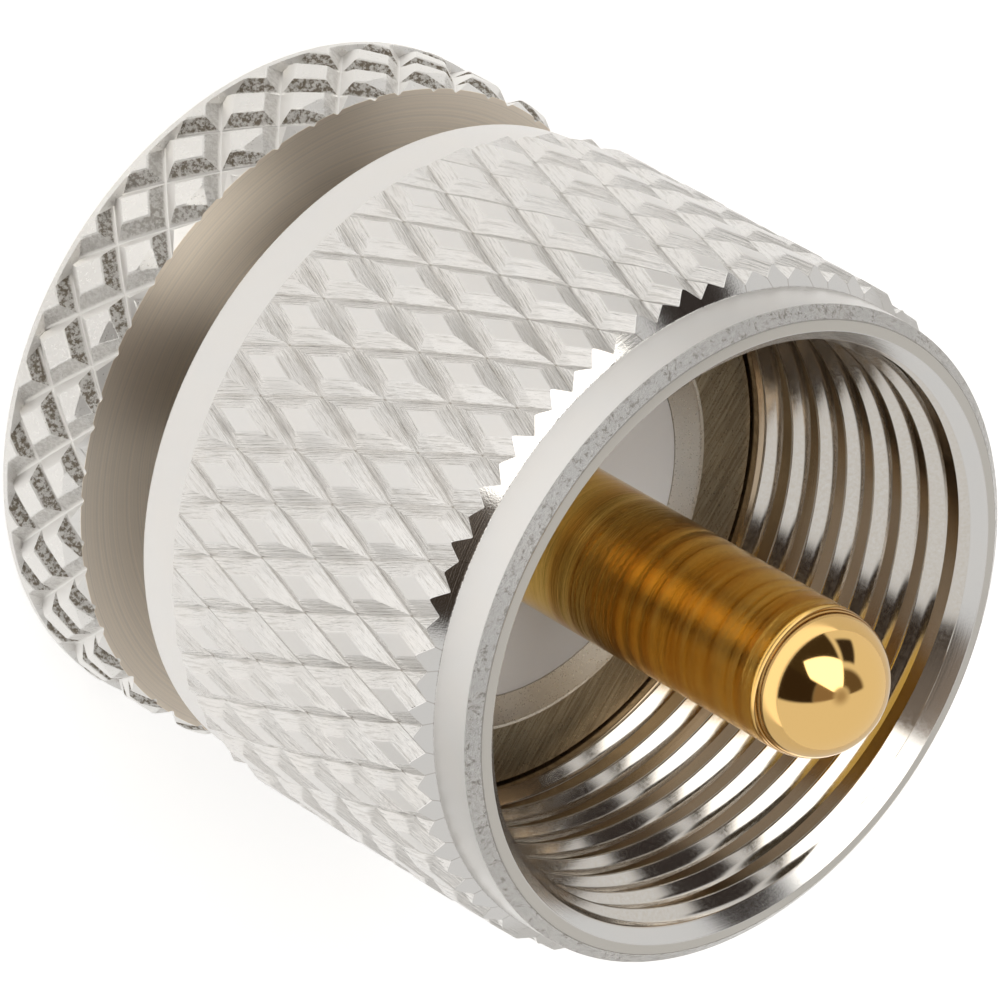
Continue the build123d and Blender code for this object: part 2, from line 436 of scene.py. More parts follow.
def make_nut():
    land_top = NUT_BACK + NUT_LAND_LENGTH
    knurl_front = NUT_FRONT - NUT_BAND_LENGTH
    thread_front = NUT_FRONT - NUT_MOUTH_DEPTH
    root_step = THREAD_ROOT_RADIUS - NUT_BORE_RADIUS
    groove_back = NUT_BACK + RING_GROOVE_BACK
    groove_front = groove_back + RING_GROOVE_WIDTH
    shell = Shell()
    cones = [(NUT_LAND_RADIUS, land_top, 1.0), (NUT_BAND_RADIUS, knurl_front, -1.0)]
    low, high = Knurled(NUT_KNURL, NUT_CREST_RADIUS, land_top, knurl_front, cones).add_to(shell)
    outline = rounded(
        [
            (NUT_BAND_RADIUS, knurl_front + SEAM, 0),
            (NUT_BAND_RADIUS, NUT_FRONT - NUT_SHOULDER_DROP, NUT_EDGE),
            (NUT_RIM_RADIUS, NUT_FRONT - NUT_RIM_DROP, NUT_EDGE),
            (NUT_MOUTH_RADIUS, NUT_FRONT, NUT_RIM_EDGE),
            (THREAD_ROOT_RADIUS, thread_front + root_step, 0),
            (THREAD_ROOT_RADIUS, THREAD_LAND_TOP + root_step, 0),
            (NUT_BORE_RADIUS, THREAD_LAND_TOP, NUT_EDGE),
            (NUT_BORE_RADIUS, groove_front, 0),
            (RING_GROOVE_RADIUS, groove_front, 0),
            (RING_GROOVE_RADIUS, groove_back, 0),
            (NUT_BORE_RADIUS, groove_back, 0),
            (NUT_BORE_RADIUS, NUT_BACK, NUT_EDGE),
            (NUT_LAND_RADIUS, NUT_BACK, CORNER),
            (NUT_LAND_RADIUS, land_top - SEAM, 0),
        ]
    )
    shell.lathe(outline, turn(FINE_SEGMENTS), start=high, end=low)
    return shell.build("nut_shell", KNURL_SHARP_DEGREES)


def make_body():
    flange_back = BODY_FRONT - FLANGE_THICKNESS
    root_radius = GRIP_RADIUS - GRIP_KNURL["depth"]
    shell = Shell()
    chamfer_slope = GRIP_CHAMFER_DEPTH / GRIP_CHAMFER_LENGTH
    cones = [
        (GRIP_LAND_RADIUS, GRIP_LAND_LENGTH, 1.0),
        (GRIP_RADIUS - GRIP_CHAMFER_DEPTH, GRIP_LENGTH, -chamfer_slope),
    ]
    knurled = Knurled(GRIP_KNURL, GRIP_RADIUS, GRIP_LAND_LENGTH, GRIP_LENGTH, cones)
    low, high = knurled.add_to(shell)
    outline = rounded(
        [
            (root_radius - SEAM, GRIP_LENGTH, 0),
            (NECK_RADIUS, GRIP_LENGTH, CORNER),
            (NECK_RADIUS, flange_back, CORNER),
            (FLANGE_RADIUS, flange_back, CORNER),
            (FLANGE_RADIUS, BODY_FRONT, FLANGE_EDGE),
            (DISH_RADIUS, BODY_FRONT, DISH_EDGE),
            (DISC_RADIUS, DISC_FRONT, 0),
            (DISC_RADIUS, DISC_BACK, 0),
            (REAR_BORE_RADIUS, DISC_BACK, 0),
            (REAR_BORE_RADIUS, PLUG_SEAT_DEPTH, 0),
            (PLUG_SEAT_RADIUS, PLUG_SEAT_DEPTH, 0),
            (PLUG_SEAT_RADIUS, 0, PLUG_SEAT_EDGE),
            (GRIP_LAND_RADIUS, 0, GRIP_LAND_EDGE),
            (GRIP_LAND_RADIUS, GRIP_LAND_LENGTH - SEAM, 0),
        ]
    )
    shell.lathe(outline, turn(FINE_SEGMENTS), start=high, end=low)
    return shell.build("body_shell", KNURL_SHARP_DEGREES)


def make_thread():
    """One ridge on the nut's wall, which rises out of the plain bore and ends in the mouth's cone."""
    shell = Shell()
    wall = THREAD_ROOT_RADIUS + THREAD_EMBED
    flank_end = THREAD_CREST_WIDTH + THREAD_FLANK_DEPTH
    thread_front = NUT_FRONT - NUT_MOUTH_DEPTH
    top = thread_front + wall - NUT_BORE_RADIUS
    back_rounding, crest_rounding, flank_rounding = THREAD_ROUNDINGS
    section = rounded(
        [
            (wall, -THREAD_BACK_RUN, 0),
            (NUT_BORE_RADIUS, 0.0, back_rounding),
            (NUT_BORE_RADIUS, THREAD_CREST_WIDTH, crest_rounding),
            (NUT_BORE_RADIUS + THREAD_FLANK_DEPTH, flank_end, flank_rounding),
            (wall, flank_end + THREAD_FOOT_RUN, 0),
        ]
    )
    rising_steps = SEGMENTS // 2
    rows = []
    for step in range(int(THREAD_TURNS * SEGMENTS) + 1):
        angle = 2 * math.pi * step / SEGMENTS
        sunk = THREAD_SINK * max(0.0, 1 - step / rising_steps)
        row = []
        for section_radius, offset in section:
            z = min(THREAD_START + THREAD_PITCH * step / SEGMENTS + offset, top)
            mouth = NUT_BORE_RADIUS + z - thread_front
            radius = min(max(section_radius + sunk, mouth), wall)
            row.append(len(shell.points))
            shell.points.append((radius * math.cos(angle), radius * math.sin(angle), z))
        rows.append(row)
    for low, high in zip(rows, rows[1:]):
        for k in range(len(low) - 1):
            shell.face([low[k], low[k + 1], high[k + 1], high[k]])
        shell.face([low[-1], low[0], high[0], high[-1]])
    shell.face(list(reversed(rows[0])))
    shell.face(rows[-1])
    return shell.build("nut_thread", THREAD_SHARP_DEGREES)


def make_disc():
    shell = Shell()
    collar_radius = PIN_COLLAR_RADIUS + DISC_CLEARANCE
    stem_radius = PIN_STEM_RADIUS + DISC_CLEARANCE
    outer_radius = DISC_RADIUS - DISC_CLEARANCE
    collar_top = DISC_BACK + PIN_COLLAR_LENGTH
    outline = rounded(
        [
            (collar_radius, DISC_BACK, 0),
            (outer_radius, DISC_BACK, 0),
            (outer_radius, DISC_FRONT, DISC_EDGE),
            (stem_radius, DISC_FRONT, DISC_HOLE_EDGE),
            (stem_radius, collar_top, 0),
            (collar_radius, collar_top, 0),
        ]
    )
    rings = shell.lathe(outline, turn(SEGMENTS))
    shell.join(rings[-1], rings[0])
    return shell.build("front_disc")


def make_pin():
    shell = Shell()
    collar_top = DISC_BACK + PIN_COLLAR_LENGTH
    outline = [
        (PIN_TAIL_RADIUS, PIN_TAIL),
        (PIN_TAIL_RADIUS, DISC_BACK),
        (PIN_COLLAR_RADIUS, DISC_BACK),
        (PIN_COLLAR_RADIUS, collar_top),
        (PIN_STEM_RADIUS, collar_top),
        (PIN_STEM_RADIUS, DISC_FRONT),
        (PIN_RADIUS, DISC_FRONT),
    ]
    nose = PIN_TIP - PIN_RADIUS
    for k in range(1, PIN_BARREL_ROWS + 1):
        outline.append((PIN_RADIUS, DISC_FRONT + (nose - DISC_FRONT) * k / PIN_BARREL_ROWS))
    for k in range(1, PIN_NOSE_ROWS):
        rise = 0.5 * math.pi * k / PIN_NOSE_ROWS
        outline.append((PIN_RADIUS * math.cos(rise), nose + PIN_RADIUS * math.sin(rise)))
    rings = shell.lathe(outline, turn(SEGMENTS))
    for ring, height in ((rings[0], PIN_TAIL), (rings[-1], PIN_TIP)):
        centre = len(shell.points)
        shell.points.append((0.0, 0.0, height))
        for i in range(len(ring)):
            shell.face([ring[i], ring[(i + 1) % len(ring)], centre])
    return shell.build("pin_shell")


# Materials

Place = namedtuple("Place", "point x y z radius")
Groove = namedtuple("Groove", "across along family distance flank")

# Half the width of most masks' soft edges, in millimetres
SOFT = 0.02

# The range that most of a noise's values lie in
NOISE_LOW = 0.3
NOISE_HIGH = 0.7

NICKEL = (0.70, 0.695, 0.685, 1)
NICKEL_DARK = (0.52, 0.50, 0.47, 1)
NICKEL_WARM = (0.73, 0.705, 0.675, 1)
# Dark nickel for real scuffs, and for painted shade and painted dark reflections in the knurls
NICKEL_WEAR_AND_PAINTED_SHADE = (0.20, 0.165, 0.12, 1)
# Painted brown reflection for the front of the nut's bore
BORE_PAINTED_REFLECTION = (0.46, 0.34, 0.21, 1)
RIM_BEIGE = (0.54, 0.51, 0.46, 1)
GRIP_PALE = (0.83, 0.815, 0.79, 1)
TURNED_CREAM = (0.96, 0.86, 0.73, 1)
# Painted brown reflection of the body's front face, dark and light along its brushed lines
BRUSHED_REFLECTION_DARK = (0.22, 0.17, 0.10, 1)
BRUSHED_REFLECTION_LIGHT = (0.46, 0.39, 0.27, 1)
DISH_CREAM = (0.88, 0.83, 0.75, 1)
THREAD_SHADE = (0.62, 0.57, 0.50, 1)
STEEL_DARK = (0.42, 0.41, 0.40, 1)
STEEL_LIGHT = (0.58, 0.57, 0.56, 1)
PLASTIC_SHADE = (0.93, 0.93, 0.955, 1)
PLASTIC_LIGHT = (0.96, 0.96, 0.97, 1)
GOLD_BROWN = (0.80, 0.48, 0.09, 1)
GOLD_YELLOW = (0.96, 0.67, 0.19, 1)
GOLD_BAND = (0.60, 0.27, 0.03, 1)
GOLD_NOSE = (0.92, 0.60, 0.23, 1)
FLOOR_SHADE = (0.78, 0.78, 0.78, 1)
FLOOR_PALE = (0.82, 0.82, 0.815, 1)
FLOOR_LIGHT = (1.0, 0.995, 0.99, 1)


class Nodes:
    """Short calls for building a node tree."""

    def __init__(self, tree):
        self.tree = tree
        self.tree.nodes.clear()

    def add(self, kind, **settings):
        made = self.tree.nodes.new(kind)
        for key, value in settings.items():
            setattr(made, key, value)
        return made

    def link(self, out, into):
        self.tree.links.new(out, into)

    def feed(self, socket, value):
        if isinstance(value, bpy.types.NodeSocket):
            self.link(value, socket)
        else:
            socket.default_value = value

    def math(self, operation, *values):
        made = self.add("ShaderNodeMath", operation=operation)
        for index, value in enumerate(values):
            self.feed(made.inputs[index], value)
        return made.outputs[0]

    def times(self, *values):
        product = values[0]
        for value in values[1:]:
            product = self.math("MULTIPLY", product, value)
        return product

    def minus(self, a, b):
        return self.math("SUBTRACT", a, b)

    def ramp(self, value, low, high, to_low=0.0, to_high=1.0):
        made = self.add("ShaderNodeMapRange", clamp=True, interpolation_type="SMOOTHSTEP")
        for index, item in enumerate((value, low, high, to_low, to_high)):
            self.feed(made.inputs[index], item)
        return made.outputs[0]

    def fall(self, value, low, high):
        """One below the low value, and zero above the high one."""
        return self.ramp(value, low, high, 1.0, 0.0)

    def spread(self, noise, to_low, to_high):
        """A noise spread between two values."""
        return self.ramp(noise, NOISE_LOW, NOISE_HIGH, to_low, to_high)

    def blend(self, kind, sockets, factor, a, b):
        """A mix node of one kind, whose sockets have the numbers (first, second, result)."""
        made = self.add("ShaderNodeMix", data_type=kind, clamp_factor=True)
        first, second, result = sockets
        self.feed(made.inputs[0], factor)
        self.feed(made.inputs[first], a)
        self.feed(made.inputs[second], b)
        return made.outputs[result]

    def mix(self, factor, a, b):
        return self.blend("RGBA", (6, 7, 2), factor, a, b)

    def pick(self, factor, a, b):
        return self.blend("FLOAT", (2, 3, 0), factor, a, b)

    def turn_to(self, factor, a, b):
        return self.blend("VECTOR", (4, 5, 1), factor, a, b)

    def noise(self, vector, scale, detail=2.0, roughness=0.5):
        made = self.add("ShaderNodeTexNoise")
        self.feed(made.inputs["Vector"], vector)
        self.feed(made.inputs["Scale"], scale)
        self.feed(made.inputs["Detail"], detail)
        self.feed(made.inputs["Roughness"], roughness)
        return made.outputs[0]

    def stretch(self, vector, scale):
        made = self.add("ShaderNodeMapping")
        self.feed(made.inputs["Vector"], vector)
        self.feed(made.inputs["Scale"], scale)
        return made.outputs[0]

    def combine(self, x, y, z=0.0):
        made = self.add("ShaderNodeCombineXYZ")
        for index, item in enumerate((x, y, z)):
            self.feed(made.inputs[index], item)
        return made.outputs[0]

    def separate(self, vector):
        made = self.add("ShaderNodeSeparateXYZ")
        self.link(vector, made.inputs[0])
        return made.outputs

    def bump(self, height, strength, depth, normal=None):
        """A bump whose depth is in millimetres, on top of an earlier one."""
        made = self.add("ShaderNodeBump")
        self.feed(made.inputs["Strength"], strength)
        self.feed(made.inputs["Distance"], depth * MM)
        self.link(height, made.inputs["Height"])
        if normal is not None:
            self.link(normal, made.inputs["Normal"])
        return made.outputs[0]

    def place(self):
        """The point in millimetres, its coordinates, and its distance from the axis."""
        where = self.add("ShaderNodeTexCoord").outputs["Object"]
        point = self.stretch(where, (1 / MM, 1 / MM, 1 / MM))
        x, y, z = self.separate(point)
        square = self.math("ADD", self.times(x, x), self.times(y, y))
        return Place(point, x, y, z, self.math("SQRT", square))

    def groove_place(self, knurl):
        """Distance across a groove and along it, its family, and how far a point is on a flank."""
        groove = self.add("ShaderNodeAttribute", attribute_name="groove").outputs["Vector"]
        across, along, family = self.separate(groove)
        distance = self.math("ABSOLUTE", across)
        flank = self.fall(distance, knurl["flank"] - SOFT, knurl["flank"] + SOFT)
        return Groove(across, along, family, distance, flank)

    def turned_finish(self, shader, anisotropy):
        """Reflections stretched across the turning lines, which run round the axis."""
        tangent = self.add("ShaderNodeTangent", direction_type="RADIAL", axis="Z").outputs[0]
        shader.inputs["Anisotropic"].default_value = anisotropy
        shader.inputs["Anisotropic Rotation"].default_value = 0.25
        self.link(tangent, shader.inputs["Tangent"])
        return tangent


def new_material(name):
    material = bpy.data.materials.new(name)
    material.use_nodes = True
    nodes = Nodes(material.node_tree)
    shader = nodes.add("ShaderNodeBsdfPrincipled")
    output = nodes.add("ShaderNodeOutputMaterial")
    nodes.link(shader.outputs[0], output.inputs["Surface"])
    return material, nodes, shader


def new_metal(name):
    material, nodes, shader = new_material(name)
    shader.inputs["Metallic"].default_value = 1.0
    return material, nodes, shader


def crossing_pit_shade(nodes, groove, shape):
    """Painted shade where two of the nut's grooves cross at their bottoms."""
    share = nodes.math("FRACT", nodes.math("DIVIDE", groove.along, shape.along_unit))
    from_crossing = nodes.math("ABSOLUTE", nodes.minus(share, 0.5))
    at_crossing = nodes.fall(from_crossing, 0.01, 0.03)
    return nodes.times(at_crossing, nodes.fall(groove.distance, 0.02, 0.06))


def nickel_nut():
    """Satin outside with lined knurl flanks, a scuffed shoulder and a bright bore."""
    material, nodes, shader = new_metal("nickel_nut")
    at = nodes.place()
    groove = nodes.groove_place(NUT_KNURL)
    knurl_front = NUT_FRONT - NUT_BAND_LENGTH
    shoulder_back = NUT_FRONT - NUT_SHOULDER_DROP
    rim_back = NUT_FRONT - NUT_RIM_DROP

    # Masks of the front cone, bore, shoulder, rim and flanks
    cone_sum = NUT_BAND_RADIUS + knurl_front
    cone = nodes.ramp(nodes.math("ADD", at.radius, at.z), cone_sum - 0.04, cone_sum - 0.015)
    cone = nodes.times(cone, nodes.fall(at.z, knurl_front - SOFT, knurl_front))
    inside = nodes.fall(at.radius, NUT_MOUTH_RADIUS - 0.03, NUT_MOUTH_RADIUS + 0.01)
    outside = nodes.minus(1.0, inside)
    bore = nodes.times(inside, nodes.fall(at.z, NUT_FRONT - 0.4, NUT_FRONT - 0.3))
    shoulder = nodes.times(
        nodes.ramp(at.radius, NUT_RIM_RADIUS - SOFT, NUT_RIM_RADIUS + SOFT),
        nodes.ramp(at.z, shoulder_back - 0.03, shoulder_back),
    )
    rim = nodes.times(
        nodes.ramp(at.z, rim_back - SOFT, rim_back),
        nodes.ramp(at.radius, NUT_MOUTH_RADIUS - 0.01, NUT_MOUTH_RADIUS + SOFT),
    )
    flank = nodes.times(groove.flank, nodes.minus(1.0, cone))

    # Noises
    cloud = nodes.noise(at.point, 0.9, detail=4.0)
    grain = nodes.noise(at.point, 22.0, detail=3.0)
    scuffs = nodes.noise(at.point, 6.0, detail=5.0, roughness=0.8)
    tool_place = nodes.combine(
        groove.across, nodes.times(groove.along, 0.05), nodes.times(groove.family, 7.0)
    )
    tool_lines = nodes.noise(tool_place, 15.0, detail=3.0, roughness=0.65)
    turned_place = nodes.combine(at.z, at.radius, nodes.times(at.x, 0.02))
    turned = nodes.noise(turned_place, 18.0, detail=3.0, roughness=0.6)

    # Colour: tool lines on the flanks, painted shade at the grooves' bottoms and where they cross, scuffs
    # on the shoulder
    pit_shade = crossing_pit_shade(nodes, groove, groove_shape(NUT_KNURL, NUT_CREST_RADIUS))
    groove_bottom_shade = nodes.ramp(groove.distance, 0.0, 0.03, 0.3, 0.0)
    colour = nodes.mix(cloud, NICKEL, NICKEL_WARM)
    line_shade = nodes.times(nodes.ramp(tool_lines, 0.5, 0.68, 0.0, 0.7), flank)
    colour = nodes.mix(line_shade, colour, NICKEL_DARK)
    # The grooves' bottoms and crossings are darkened with painted shade
    colour = nodes.mix(nodes.math("MAXIMUM", nodes.times(pit_shade, 0.7), groove_bottom_shade), colour, NICKEL_WEAR_AND_PAINTED_SHADE)
    scuff_shade = nodes.times(nodes.ramp(scuffs, 0.52, 0.62, 0.0, 0.55), shoulder)
    colour = nodes.mix(scuff_shade, colour, NICKEL_WEAR_AND_PAINTED_SHADE)
    # The front of the bore gets a painted brown reflection
    colour = nodes.mix(nodes.times(bore, 0.85), colour, BORE_PAINTED_REFLECTION)
    colour = nodes.mix(nodes.times(rim, 0.85), colour, RIM_BEIGE)
    nodes.link(colour, shader.inputs["Base Color"])

    rough = nodes.spread(grain, 0.28, 0.36)
    rough = nodes.pick(flank, rough, 0.2)
    rough = nodes.pick(cone, rough, 0.11)
    rough = nodes.pick(shoulder, rough, 0.13)
    rough = nodes.pick(inside, rough, nodes.spread(grain, 0.14, 0.2))
    nodes.link(rough, shader.inputs["Roughness"])

    normal = nodes.bump(nodes.times(grain, outside), strength=0.12, depth=0.01)
    lines = nodes.times(nodes.minus(tool_lines, 0.5), flank)
    normal = nodes.bump(lines, strength=1.0, depth=0.045, normal=normal)
    normal = nodes.bump(turned, strength=0.2, depth=0.008, normal=normal)
    rubbed = nodes.times(scuffs, shoulder)
    normal = nodes.bump(rubbed, strength=1.0, depth=0.2, normal=normal)
    nodes.link(normal, shader.inputs["Normal"])
    nodes.turned_finish(shader, 0.4)
    return material


def nickel_body():
    """Turned faces, a rough coarse knurl with painted dark reflections on its flanks, and a front face
    brushed in straight lines with a painted brown reflection.
    """
    material, nodes, shader = new_metal("nickel_body")
    at = nodes.place()
    groove = nodes.groove_place(GRIP_KNURL)
    flank = groove.flank
    root_radius = GRIP_RADIUS - GRIP_KNURL["depth"]

    # Masks of the front face, the dish round the disc, the grip's turned face and its knurl
    front = nodes.ramp(at.z, BODY_FRONT - 0.02, BODY_FRONT - 0.005)
    dish = nodes.times(
        nodes.ramp(at.z, DISC_FRONT - 0.2, DISC_FRONT - 0.1),
        nodes.fall(at.radius, DISH_RADIUS, DISH_RADIUS + 0.03),
    )
    turned_face = nodes.times(
        nodes.ramp(at.z, GRIP_LENGTH - 0.02, GRIP_LENGTH - 0.005),
        nodes.ramp(at.radius, NECK_RADIUS, NECK_RADIUS + 0.1),
        nodes.fall(at.z, GRIP_LENGTH + 0.02, GRIP_LENGTH + 0.1),
    )
    knurled = nodes.ramp(at.radius, root_radius - 0.06, root_radius)

    # Noises
    grain = nodes.noise(at.point, 14.0, detail=4.0, roughness=0.7)
    speckle = nodes.noise(at.point, 8.0, detail=4.0, roughness=0.7)
    turned = nodes.noise(nodes.combine(at.z, at.radius), 14.0, detail=4.0, roughness=0.65)
    brushed_place = nodes.combine(nodes.times(at.x, 0.05), at.y)
    brushed = nodes.noise(brushed_place, 9.0, detail=5.0, roughness=0.75)
    lines = nodes.pick(front, turned, brushed)

    # The knurl is pale, and one flank of each groove is rougher than the other and carries a speckled
    # painted dark reflection. The painted reflection sits in one family of grooves to the left of the
    # front, and in the other family to its right.
    side = nodes.times(groove.across, groove.family)
    rough_side = nodes.times(nodes.fall(side, -0.1, -0.04), flank)
    to_right = nodes.ramp(at.x, -4.0, 0.0)
    v_family = nodes.fall(groove.family, -0.5, 0.5)
    fainter_family = nodes.math("ABSOLUTE", nodes.minus(to_right, v_family))
    reflection_share = nodes.minus(1.0, nodes.times(fainter_family, 0.75))
    painted_flank_reflection = nodes.times(nodes.ramp(speckle, 0.42, 0.58, 0.2, 0.95), rough_side, reflection_share)

    colour = nodes.mix(lines, NICKEL_DARK, NICKEL)
    colour = nodes.mix(knurled, colour, GRIP_PALE)
    # Speckled painted dark reflection on the rougher flanks
    colour = nodes.mix(painted_flank_reflection, colour, NICKEL_WEAR_AND_PAINTED_SHADE)
    pale_lines = nodes.times(turned_face, nodes.ramp(turned, 0.35, 0.65, 0.7, 1.0))
    colour = nodes.mix(pale_lines, colour, TURNED_CREAM)
    # Painted brown reflection on the front face, streaked along its brushed lines
    brushed_painted_reflection = nodes.mix(nodes.ramp(lines, 0.35, 0.65), BRUSHED_REFLECTION_DARK, BRUSHED_REFLECTION_LIGHT)
    colour = nodes.mix(nodes.times(front, 0.9), colour, brushed_painted_reflection)
    colour = nodes.mix(nodes.times(dish, 0.9), colour, DISH_CREAM)
    nodes.link(colour, shader.inputs["Base Color"])

    rough = nodes.spread(grain, 0.26, 0.36)
    rough = nodes.pick(turned_face, rough, 0.46)
    rough = nodes.pick(flank, rough, 0.34)
    nodes.link(rough, shader.inputs["Roughness"])

    rough_flank = nodes.times(nodes.minus(grain, 0.5), rough_side)
    normal = nodes.bump(rough_flank, strength=1.0, depth=0.14)
    off_flank = nodes.minus(1.0, nodes.math("MAXIMUM", flank, dish))
    normal = nodes.bump(nodes.times(lines, off_flank), strength=0.4, depth=0.02, normal=normal)
    nodes.link(normal, shader.inputs["Normal"])

    # The brushed face stretches reflections across its straight lines, which run along X
    round_axis = nodes.turned_finish(shader, 0.97)
    nodes.link(nodes.turn_to(front, round_axis, (1.0, 0.0, 0.0)), shader.inputs["Tangent"])
    return material


def nickel_thread():
    """Bright flanks with fine lines that follow the helix."""
    material, nodes, shader = new_metal("nickel_thread")
    at = nodes.place()
    grain = nodes.noise(at.point, 10.0, detail=3.0, roughness=0.6)
    turns = nodes.math("DIVIDE", nodes.math("ARCTAN2", at.y, at.x), 2 * math.pi)
    climb = nodes.math("DIVIDE", nodes.minus(at.z, THREAD_START), THREAD_PITCH)
    share = nodes.math("FRACT", nodes.minus(climb, turns))
    turned_place = nodes.combine(share, at.radius, nodes.times(climb, 0.05))
    turned = nodes.noise(turned_place, 14.0, detail=4.0, roughness=0.7)
    nodes.link(nodes.mix(grain, THREAD_SHADE, NICKEL_WARM), shader.inputs["Base Color"])
    nodes.link(nodes.spread(grain, 0.1, 0.15), shader.inputs["Roughness"])
    nodes.link(nodes.bump(turned, strength=0.12, depth=0.004), shader.inputs["Normal"])
    nodes.turned_finish(shader, 0.6)
    return material


def nickel_plug():
    material, nodes, shader = new_metal("nickel_plug")
    at = nodes.place()
    turned = nodes.noise(nodes.combine(at.z, at.radius), 9.0, detail=4.0, roughness=0.7)
    grain = nodes.noise(at.point, 12.0, detail=3.0)
    nodes.link(nodes.mix(turned, NICKEL_DARK, NICKEL), shader.inputs["Base Color"])
    nodes.link(nodes.spread(grain, 0.25, 0.38), shader.inputs["Roughness"])
    nodes.link(nodes.bump(turned, strength=0.5, depth=0.03), shader.inputs["Normal"])
    return material


def spring_steel():
    material, nodes, shader = new_metal("spring_steel")
    grain = nodes.noise(nodes.place().point, 8.0, detail=4.0)
    nodes.link(nodes.mix(grain, STEEL_DARK, STEEL_LIGHT), shader.inputs["Base Color"])
    nodes.link(nodes.spread(grain, 0.3, 0.45), shader.inputs["Roughness"])
    nodes.link(nodes.bump(grain, strength=0.3, depth=0.01), shader.inputs["Normal"])
    return material


def white_plastic():
    material, nodes, shader = new_material("white_plastic")
    at = nodes.place()
    cloud = nodes.noise(at.point, 0.8, detail=3.0)
    turned = nodes.noise(nodes.combine(at.z, at.radius), 10.0, detail=3.0)
    nodes.link(nodes.mix(cloud, PLASTIC_SHADE, PLASTIC_LIGHT), shader.inputs["Base Color"])
    nodes.link(nodes.spread(cloud, 0.32, 0.42), shader.inputs["Roughness"])
    nodes.link(nodes.bump(turned, strength=0.15, depth=0.01), shader.inputs["Normal"])
    shader.inputs["Subsurface Weight"].default_value = 0.15
    shader.inputs["Subsurface Radius"].default_value = (0.8 * MM, 0.8 * MM, 0.8 * MM)
    shader.inputs["Subsurface Scale"].default_value = 1.0
    return material


def gold_plate():
    """A turned, gold-plated barrel and a polished nose."""
    material, nodes, shader = new_metal("gold_plate")
    at = nodes.place()
    nose = PIN_TIP - PIN_RADIUS
    dome = nodes.ramp(at.z, nose - 0.15, nose + 0.1)
    off_dome = nodes.minus(1.0, dome)
    cloud = nodes.noise(nodes.stretch(at.point, (0.5, 0.5, 0.35)), 1.2, detail=4.0)
    barrel_place = nodes.combine(at.z, nodes.times(at.x, 0.04))
    turned = nodes.noise(barrel_place, 7.0, detail=5.0, roughness=0.75)
    bands = nodes.noise(barrel_place, 1.7, detail=2.0, roughness=0.5)

    barrel = nodes.mix(cloud, GOLD_BROWN, GOLD_YELLOW)
    barrel = nodes.mix(nodes.ramp(bands, 0.42, 0.66, 0.0, 0.6), barrel, GOLD_BAND)
    nodes.link(nodes.mix(dome, barrel, GOLD_NOSE), shader.inputs["Base Color"])
    rough = nodes.spread(turned, 0.08, 0.16)
    nodes.link(nodes.pick(dome, rough, 0.07), shader.inputs["Roughness"])

    # The barrel's turned waves grow towards the nose
    towards_nose = nodes.ramp(at.z, PIN_WAVES_START, nose, 0.25, 1.0)
    normal = nodes.bump(nodes.times(turned, off_dome), strength=0.5, depth=0.02)
    waves = nodes.times(bands, off_dome, towards_nose)
    normal = nodes.bump(waves, strength=1.0, depth=0.09, normal=normal)
    nodes.link(normal, shader.inputs["Normal"])
    nodes.turned_finish(shader, 0.4)
    return material


# Studio

FLOOR_SIZE = 1.5
FLOOR_CELLS = 24

# Glow painted into the floor as painted light, in metres: an oval round and behind the part, and a field in
# front of it
OVAL_CENTRE_Y = 10.0 * MM
OVAL_DEPTH_SHARE = 0.72
OVAL_INNER = 22.0 * MM
OVAL_OUTER = 30.0 * MM
OVAL_LIGHT = 0.5
FIELD_START_Y = -6.0 * MM
FIELD_FULL_Y = -42.0 * MM
FIELD_FADE_Y = -0.2
FIELD_END_Y = -0.5
FIELD_LIGHT = 0.6

# Areas of the studio round the part: left, right, low and high edges and their softness in degrees.
# The side is 0 at the front and grows to the right, and the rise is 0 at the horizon.
Patch = namedtuple("Patch", "left right low high soft colour")
TENT = (0.80, 0.795, 0.785, 1)
PATCHES = (
    Patch(-200, 200, 80, 120, 8, (0.42, 0.37, 0.31, 1)),
    Patch(-145, -68, 53, 77, 4, (0.13, 0.10, 0.07, 1)),
    Patch(-99, -75, 12, 44, 3, (0.04, 0.032, 0.028, 1)),
    Patch(-8, 47, 48, 80, 5, (0.26, 0.20, 0.15, 1)),
    Patch(-5, 47, -5, 50, 3, (0.035, 0.024, 0.016, 1)),
    Patch(-68, 0, -18, 40, 3, (0.05, 0.038, 0.024, 1)),
)
WINDOW = Patch(-72, 0, 14, 77, 3, (2.3, 2.25, 2.15, 1))

# Two slanted lines cut the window's lower edge: each one's slope, and its rise at the front in degrees
WINDOW_LINES = ((-0.5, 7.0), (1.3, 37.0))
WINDOW_LINE_SOFT = 2

# The photograph's view, 41 degrees above the front: places and lens in millimetres, roll in degrees,
# and the nearest and farthest that the camera sees in metres
CAMERA_PLACE = (0.0, -201.52, 186.89)
CAMERA_AIM = (0.0, 0.0, 8.909)
CAMERA_ROLL = 119.92
CAMERA_LENS = 372.55
SENSOR_WIDTH = 36.0
NEAREST_SEEN = 0.01
FARTHEST_SEEN = 10.0


